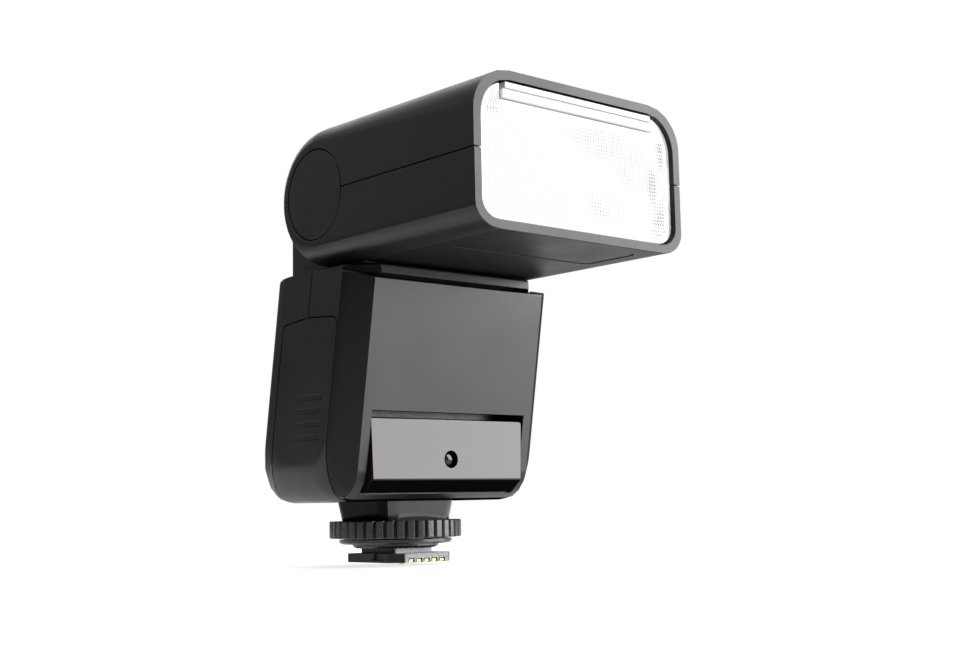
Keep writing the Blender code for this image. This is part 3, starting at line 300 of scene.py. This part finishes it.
def label_material(name, base, band):
    """Printed jacket with plain bands across x and no lettering."""
    radians_per_metre = 190.0
    s = Shader(name, base, 0.3, 0.35)
    (x,) = s.axes("X")
    wave = s.math("SINE", s.math("MULTIPLY", x, radians_per_metre))
    wave = s.span(wave, 0.55, 0.6, 0.0, 1.0)
    s.to("Base Color", s.blend(wave, base, band))
    s.to("Roughness", s.span(s.noise(500), 0.3, 0.7, 0.22, 0.4))
    s.to("Normal", s.bump(s.noise(1500), 0.00001, 0.5))
    return s.material


SHELL = spark_plastic("satin_black_shell", (0.006, 0.006, 0.0064), 0.38, specular=0.38)
# Copy of the shell that reflects more: painted sheen on the front panel's face
PANEL_PAINTED_SHEEN = spark_plastic("front_panel_painted_sheen", (0.0075, 0.0075, 0.008), 0.36, specular=0.6)
# Copy of the shell that reflects less: painted shade on the head's front faces
RIM_PAINTED_SHADE = spark_plastic("black_rim_painted_shade", (0.006, 0.006, 0.0064), 0.4, specular=0.31)
# Darker copy of the shell that reflects less: painted shade on faces turned down
UNDERSIDE_PAINTED_SHADE = spark_plastic("black_underside_painted_shade", (0.005, 0.005, 0.0054), 0.45, specular=0.16)
# Near-black sheet that does not reflect: painted shade on the window's and the housing's faces turned down
LOWER_FACE_PAINTED_SHADE = polished("lower_faces_painted_shade", (0.002, 0.002, 0.002), 0.12, 0.0, Specular_IOR_Level=0.0)
GLOSSY = spark_plastic("polished_black_base", (0.028, 0.03, 0.034), 0.16, 1800, 0.000008, 0.03, 0.6)
FOOT = spark_plastic("hard_black_foot", (0.014, 0.014, 0.014), 0.27, 1500, 0.00004, specular=0.6)
PLATE = spark_plastic("speckled_grey_foot", (0.12, 0.12, 0.122), 0.24, 1300, 0.00006, 0.1, 0.8)
# Copy of the shell that hardly reflects: painted shade taking the sheen off top faces
TOP_PAINTED_SHADE = spark_plastic("black_top_painted_shade", (0.02, 0.02, 0.021), 0.42, spread=0.02, specular=0.006)
# Darker copy of the shell that reflects less: painted shade on the housing's front corners
CORNER_PAINTED_SHADE = spark_plastic("black_corner_painted_shade", (0.005, 0.005, 0.0054), 0.36, specular=0.2)
# Darker copy of the polished base that hardly reflects: painted shade on its sides
GLOSS_SIDE_PAINTED_SHADE = spark_plastic("black_gloss_sides_painted_shade", (0.004, 0.004, 0.0045), 0.14, 1800, 0.000008, 0.03, 0.04)
# Darker copy of the foot plate that reflects less: painted shade on its sides
FOOT_SIDE_PAINTED_SHADE = spark_plastic("black_foot_sides_painted_shade", (0.012, 0.012, 0.012), 0.34, 1300, 0.00006, 0.1, 0.25)
DOWN = Vector((0, 0, -1))
LEFT = Vector((-1, 0, 0))
AHEAD = Vector((0, -1, 0))
AHEAD_LEANING = Vector((0, -1, -LEAN)).normalized()
FRONT_LEFT = Vector((-0.7, -0.7, -0.12)).normalized()
FRONT_RIGHT = Vector((0.7, -0.7, -0.12)).normalized()
# Faces of a node get a copy of its material with painted shade, and the front panel's face one with painted
# sheen, where the cosine to a direction is above the number given.
# On the head this holds only for faces in front of its hinge barrel.
BARREL_FRONT_Y = -12 * MM
FACINGS = {
    "head_lower_shell": [(DOWN, 0.998, UNDERSIDE_PAINTED_SHADE), (AHEAD, 0.99, RIM_PAINTED_SHADE)],
    "underside_plate": [(DOWN, 0.998, UNDERSIDE_PAINTED_SHADE)],
    "front_window": [(DOWN, 0.45, LOWER_FACE_PAINTED_SHADE)],
    "head_upper_shell": [(-DOWN, 0.97, TOP_PAINTED_SHADE), (AHEAD, 0.99, RIM_PAINTED_SHADE)],
    "front_housing": [
        (DOWN, 0.9, LOWER_FACE_PAINTED_SHADE),
        (FRONT_LEFT, 0.8, CORNER_PAINTED_SHADE),
        (FRONT_RIGHT, 0.8, CORNER_PAINTED_SHADE),
        (AHEAD_LEANING, 0.985, PANEL_PAINTED_SHEEN),
    ],
    "pedestal": [(LEFT, 0.6, GLOSS_SIDE_PAINTED_SHADE), (-LEFT, 0.6, GLOSS_SIDE_PAINTED_SHADE)],
    "foot_plate": [(LEFT, 0.6, FOOT_SIDE_PAINTED_SHADE), (-LEFT, 0.6, FOOT_SIDE_PAINTED_SHADE)],
}
materials = {
    "shell": SHELL,
    "key": rubber("soft_black_key", (0.026, 0.026, 0.028), 0.55),
    "foot": FOOT,
    "window": polished("smoked_red_window", (0.01, 0.005, 0.006), 0.045, 0.05, Specular_IOR_Level=0.42),
    "screen": screen_material(),
    "display": polished("display_face", (0.3, 0.36, 0.31), 0.3, 0.0),
    "lens": clear_material("clear_lens", (0.93, 0.95, 0.97), 0.45),
    "mirror": metal("mirror_sheet", (0.88, 0.88, 0.89), 0.1, 0),
    "steel": metal("bright_steel", (0.56, 0.56, 0.58), 0.26, 0),
    "gold": metal("gold_contact", (0.86, 0.6, 0.2), 0.2, 1),
    "board": board_material(),
    "white": spark_plastic("white_card", (0.5, 0.5, 0.49), 0.45, 2200, 0.00001),
    "cell": label_material("cell_jacket", (0.03, 0.035, 0.05), (0.5, 0.34, 0.1)),
    "sleeve": label_material("capacitor_sleeve", (0.012, 0.012, 0.03), (0.25, 0.27, 0.3)),
    "bulb": clear_material("quartz_tube", (0.86, 0.9, 0.95), 0.4),
}

# ---------------------------------------------------------------- pieces


def finish_mesh(bm, name, material, angle=32):
    """Object from a mesh in the making, smooth but for edges sharper than the angle in degrees."""
    bmesh.ops.recalc_face_normals(bm, faces=bm.faces)
    mesh = bpy.data.meshes.new(name)
    bm.to_mesh(mesh)
    bm.free()
    mesh.shade_smooth()
    mesh.set_sharp_from_angle(angle=math.radians(angle))
    mesh.materials.clear()
    mesh.materials.append(material)
    obj = bpy.data.objects.new(name, mesh)
    bpy.context.scene.collection.objects.link(obj)
    return obj


def soften(obj, width, segments=2, angle=30):
    """Round the edges sharper than the angle by a width in mm."""
    bevel = obj.modifiers.new("Edges", "BEVEL")
    bevel.width = width * MM
    bevel.segments = segments
    bevel.limit_method = "ANGLE"
    bevel.angle_limit = math.radians(angle)
    bevel.harden_normals = True
    bevel.miter_outer = "MITER_ARC"
    evened = obj.modifiers.new("Even shading", "WEIGHTED_NORMAL")
    evened.keep_sharp = True
    evened.weight = 80


# Points closer than WELD are one point, and faces within FLAT_ANGLE of each other are one face
WELD = 2e-6
FLAT_ANGLE = math.radians(0.4)


def refined(node, width, segments=2, angle=30, material=None):
    """Copy of a CAD node with merged flat faces, smooth shading and softened edges, standing for it."""
    bm = bmesh.new()
    bm.from_mesh(nodes[node].data)
    bmesh.ops.remove_doubles(bm, verts=bm.verts, dist=WELD)
    bmesh.ops.dissolve_limit(bm, angle_limit=FLAT_ANGLE, verts=bm.verts, edges=bm.edges)
    obj = finish_mesh(bm, node + "_skin", material or materials[slot_of_node[node]], angle)
    # Faces picked by their facing take the copies with painted shade and painted sheen
    for direction, least, painted_light_copy in FACINGS.get(node, ()):
        obj.data.materials.append(painted_light_copy)
        index = len(obj.data.materials) - 1
        for face in obj.data.polygons:
            on_barrel = node.startswith("head") and face.center.y > BARREL_FRONT_Y
            if face.normal.dot(direction) > least and not on_barrel:
                face.material_index = index
    if width:
        soften(obj, width, segments, angle)
    return stand_for(obj, node)


def stand_for(obj, node):
    """Make a visible piece take the place of a CAD node."""
    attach(obj, body_of_node[node])
    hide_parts(node)
    return obj


def detail(obj, node):
    """A piece added to a CAD node: it moves with the node."""
    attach(obj, body_of_node[node])
    return obj


HANDLED = set()


def refine_all(width, names, **options):
    """Refine the named nodes with edges softened by a width in mm."""
    for name in names.split():
        HANDLED.add(name)
        refined(name, width, **options)


refine_all(0.35, "head_upper_shell head_lower_shell", segments=3, angle=40)
refine_all(0.22, "front_housing rear_cover battery_door swivel_deck", segments=3)
refine_all(0.3, "swivel_knuckle", segments=3)
refine_all(0.25, "front_window", segments=3)
refine_all(0.2, "hinge_cap_left hinge_cap_right control_dial", segments=3)
refine_all(0.16, "clamp_disc")
refine_all(0.12, "foot_plate", material=PLATE)
refine_all(0.08, "lock_ring")
refine_all(0.4, "pedestal", segments=3, material=GLOSSY)
refine_all(0.12, "port_cover underside_plate set_button power_switch")
refine_all(0.3, "test_button", segments=3, material=polished("frosted_button", (0.2, 0.2, 0.19), 0.4, 0.0))
refine_all(0.25, "function_key_1 function_key_2 function_key_3 function_key_4", segments=3)


# ---------------------------------------------------------------- the front lens


def lens_prisms():
    """Field of small pyramids proud of the lens's face, kept off its rounded corners."""
    pitch = 0.8 * MM
    height = 0.1 * MM
    side_margin, foot_margin, both_margins = 1.5 * MM, 0.9 * MM, 2.2 * MM
    corner = 6.5 * MM
    lens_low, lens_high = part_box("fresnel_lens")
    notch_low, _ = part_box("wide_panel")
    face = lens_low.y - 0.02 * MM
    tip = face - height
    half_columns = int((lens_high.x - side_margin) / pitch)
    rows = int((notch_low.z - lens_low.z - both_margins) / pitch)
    start = lens_low.z + foot_margin
    bm = bmesh.new()
    for column in range(-half_columns, half_columns):
        for row in range(rows):
            x = column * pitch
            z = start + row * pitch
            centre = Vector((x + pitch / 2, 0, z + pitch / 2))
            past_side = abs(centre.x) - (lens_high.x - corner)
            past_foot = lens_low.z + corner - centre.z
            if past_side > 0 and past_foot > 0 and math.hypot(past_side, past_foot) > corner - MM:
                continue
            base = [(x, z), (x + pitch, z), (x + pitch, z + pitch), (x, z + pitch)]
            ring = [bm.verts.new((a, face, b)) for a, b in base]
            top = bm.verts.new((centre.x, tip, centre.z))
            for index in range(len(ring)):
                bm.faces.new((ring[index], ring[(index + 1) % len(ring)], top))
    bmesh.ops.remove_doubles(bm, verts=bm.verts, dist=1e-6)
    # The prisms take the lens material with its painted glow and painted shade
    field = finish_mesh(bm, "lens_prism_field", bpy.data.materials["painted_glow_prism_lens"], 10)
    return detail(field, "fresnel_lens")


refine_all(0.3, "fresnel_lens", segments=3, material=lens_material())
lens_prisms()

# ---------------------------------------------------------------- all other nodes

# Panel material with a painted glow along its front edge
PANEL_PAINTED_GLOW = panel_material()


def panel_divider():
    """Guide strip between the two pull-out panels, just behind their front edges."""
    setback, gap_x, gap_z = 0.15 * MM, 0.3 * MM, 0.03 * MM
    bead, length = 0.35 * MM, 3 * MM
    card_low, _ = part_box("bounce_card")
    panel_low, panel_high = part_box("wide_panel")
    front = panel_low.y + setback
    back = front + length
    half_x = panel_high.x - gap_x
    low_z, high_z = panel_high.z + gap_z, card_low.z - gap_z
    middle = (low_z + high_z) / 2
    shoulder = front + bead
    outline = [(back, low_z), (shoulder, low_z), (front, middle), (shoulder, high_z), (back, high_z)]
    bm = bmesh.new()
    ends = [[bm.verts.new((x, y, z)) for y, z in outline] for x in (-half_x, half_x)]
    for index in range(len(outline)):
        after = (index + 1) % len(outline)
        bm.faces.new((ends[0][index], ends[0][after], ends[1][after], ends[1][index]))
    bm.faces.new(ends[0])
    bm.faces.new(ends[1])
    # The divider takes the panel material with its painted glow at the front edge
    divider = finish_mesh(bm, "panel_divider", PANEL_PAINTED_GLOW)
    soften(divider, 0.05)
    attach(divider, body_of_node["fresnel_lens"])


panel_divider()


# ---------------------------------------------------------------- printed marks on the keys


def bar(left, low, right, high):
    """Outline of a rectangle. All outlines are in mm from the key's middle, as seen from behind."""
    return [(left, low), (right, low), (right, high), (left, high)]


def dot(radius):
    steps = 24
    turns = [2 * math.pi * step / steps for step in range(steps)]
    return [(radius * math.cos(turn), radius * math.sin(turn)) for turn in turns]


def printed_mark(node, outlines):
    """Plain pale shapes printed on a rear key, a hair proud of its face."""
    sunk, proud = -0.06, 0.025
    face = max(vert.co.dot(REAR_NORMAL) for vert in nodes[node].data.vertices)
    low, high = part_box(node)
    middle = (low + high) / 2
    middle += REAR_NORMAL * (face - middle.dot(REAR_NORMAL))
    bm = bmesh.new()
    for outline in outlines:
        layers = []
        for out in (sunk, proud):
            offsets = [Vector((-x, 0, 0)) + REAR_UP * up + REAR_NORMAL * out for x, up in outline]
            layers.append([bm.verts.new(middle + offset * MM) for offset in offsets])
        for index in range(len(outline)):
            after = (index + 1) % len(outline)
            bm.faces.new((layers[0][index], layers[0][after], layers[1][after], layers[1][index]))
        bm.faces.new(layers[0])
        bm.faces.new(layers[1])
    return detail(finish_mesh(bm, node + "_mark", INK), node)


INK = spark_plastic("pale_print", (0.42, 0.42, 0.42), 0.5, 3000, 0.000004)
MARKS = {
    "function_key_1": [bar(-1.2, -0.8, -0.6, -0.2), bar(-0.3, -0.8, 0.3, 0.3), bar(0.6, -0.8, 1.2, 0.8)],
    "function_key_2": [
        bar(-0.9, -0.18, 0.9, 0.18),
        bar(-0.18, 0.3, 0.18, 0.9),
        bar(-0.18, -0.9, 0.18, -0.3),
    ],
    "function_key_3": [[(-0.7, -0.8), (0.8, 0), (-0.7, 0.8)]],
    "function_key_4": [
        bar(-1.1, 0.35, 1.1, 0.65),
        bar(-1.1, -0.15, 1.1, 0.15),
        bar(-1.1, -0.65, 1.1, -0.35),
    ],
    "set_button": [dot(0.7)],
}
for key, outlines in MARKS.items():
    printed_mark(key, outlines)

for name in nodes:
    if name in HANDLED:
        continue
    if name == "wide_panel":
        refined(name, 0.08, material=PANEL_PAINTED_GLOW)
    else:
        refined(name, 0.08 if name == "bounce_card" else 0.0)


# ---------------------------------------------------------------- stage, light and camera


FLOOR_HALF = 0.3
FLOOR_GAP = 0.2 * MM
FLOOR_TONES = ((0.37, 0.37, 0.37), (0.39, 0.39, 0.39))
FLOOR_GLOW = 0.72


def make_floor():
    """Small pale floor that glows enough to melt into the white around it."""
    bm = bmesh.new()
    bmesh.ops.create_grid(bm, x_segments=1, y_segments=1, size=FLOOR_HALF)
    s = Shader("pale_floor", (0.38, 0.38, 0.38), 0.8, Specular_IOR_Level=0.1)
    s.to("Base Color", s.blend(s.noise(3.0), *FLOOR_TONES))
    s.shader.inputs["Emission Color"].default_value = (1, 1, 1, 1)
    s.shader.inputs["Emission Strength"].default_value = FLOOR_GLOW
    floor = finish_mesh(bm, "floor", s.material)
    floor.location.z = cad_box[0].z - FLOOR_GAP


# Name, place, target, width, height, radiance
SOFTBOXES = (
    ("key_softbox", (1.0, -0.86, 0.54), (0, -0.03, 0.54), 1.5, 1.1, 9.2),
    ("top_softbox", (-0.1, -0.1, 1.3), (0, -0.03, 0.055), 1.2, 1.2, 1.6),
    ("rear_fill", (-1.0, 1.2, 0.75), (0, 0, 0.08), 1.3, 1.0, 0.32),
    ("back_softbox", (0.5, 1.5, 0.95), (0, 0, 0.08), 1.4, 0.8, 1.9),
)
SUN_STRENGTH = 2.0
SUN_SPREAD = math.radians(100)
SUN_TURN = (math.radians(12), math.radians(10), 0)
WORLD_LIGHT = (0.1, 0.1, 0.103, 1)
WORLD_SEEN = (1.0, 1.0, 1.0, 1)


def area_light(name, place, target, width, height, radiance):
    lamp = bpy.data.lights.new(name, "AREA")
    lamp.shape = "RECTANGLE"
    lamp.size = width
    lamp.size_y = height
    lamp.energy = radiance * math.pi * width * height
    obj = bpy.data.objects.new(name, lamp)
    obj.location = place
    obj.rotation_euler = (Vector(target) - Vector(place)).to_track_quat("-Z", "Y").to_euler()
    obj.visible_camera = False
    bpy.context.scene.collection.objects.link(obj)


def make_light():
    for softbox in SOFTBOXES:
        area_light(*softbox)
    sun = bpy.data.lights.new("overhead", "SUN")
    sun.energy = SUN_STRENGTH
    sun.angle = SUN_SPREAD
    lamp = bpy.data.objects.new("overhead", sun)
    lamp.rotation_euler = SUN_TURN
    bpy.context.scene.collection.objects.link(lamp)


def make_world():
    """Dim light from all around, seen as plain white by the camera."""
    world = bpy.data.worlds.new("studio")
    bpy.context.scene.world = world
    world.use_nodes = True
    tree = world.node_tree
    light = tree.nodes["Background"]
    light.inputs["Color"].default_value = WORLD_LIGHT
    light.inputs["Strength"].default_value = 1.0
    seen = tree.nodes.new("ShaderNodeBackground")
    seen.inputs["Color"].default_value = WORLD_SEEN
    seen.inputs["Strength"].default_value = 1.0
    path = tree.nodes.new("ShaderNodeLightPath")
    mix = tree.nodes.new("ShaderNodeMixShader")
    tree.links.new(path.outputs["Is Camera Ray"], mix.inputs["Fac"])
    tree.links.new(light.outputs[0], mix.inputs[1])
    tree.links.new(seen.outputs[0], mix.inputs[2])
    tree.links.new(mix.outputs[0], tree.nodes["World Output"].inputs["Surface"])


CAMERA_PLACE = Vector((-0.21435, -0.27715, 0.01252))
# Turn from +Y towards +X, rise and roll, in degrees
CAMERA_ANGLES = (41.366, 6.9575, -1.1619)
CAMERA_LENS = 53.246
SENSOR_WIDTH = 36
CLIP_RANGE = (0.01, 50)


def make_camera():
    turn, rise, roll = (math.radians(angle) for angle in CAMERA_ANGLES)
    ahead = Vector((math.sin(turn) * math.cos(rise), math.cos(turn) * math.cos(rise), math.sin(rise)))
    level = Vector((math.cos(turn), -math.sin(turn), 0))
    over = level.cross(ahead)
    right = math.cos(roll) * level + math.sin(roll) * over
    up = -math.sin(roll) * level + math.cos(roll) * over
    camera = bpy.data.objects.new("camera", bpy.data.cameras.new("camera"))
    camera.data.lens = CAMERA_LENS
    camera.data.sensor_width = SENSOR_WIDTH
    camera.data.clip_start, camera.data.clip_end = CLIP_RANGE
    facing = Matrix((right, up, -ahead)).transposed().to_quaternion()
    camera.matrix_world = Matrix.LocRotScale(CAMERA_PLACE, facing, None)
    bpy.context.scene.collection.objects.link(camera)
    bpy.context.scene.camera = camera


make_floor()
make_light()
make_world()
make_camera()
bpy.context.scene.view_settings.view_transform = "Standard"
bpy.context.scene.view_settings.look = "None"
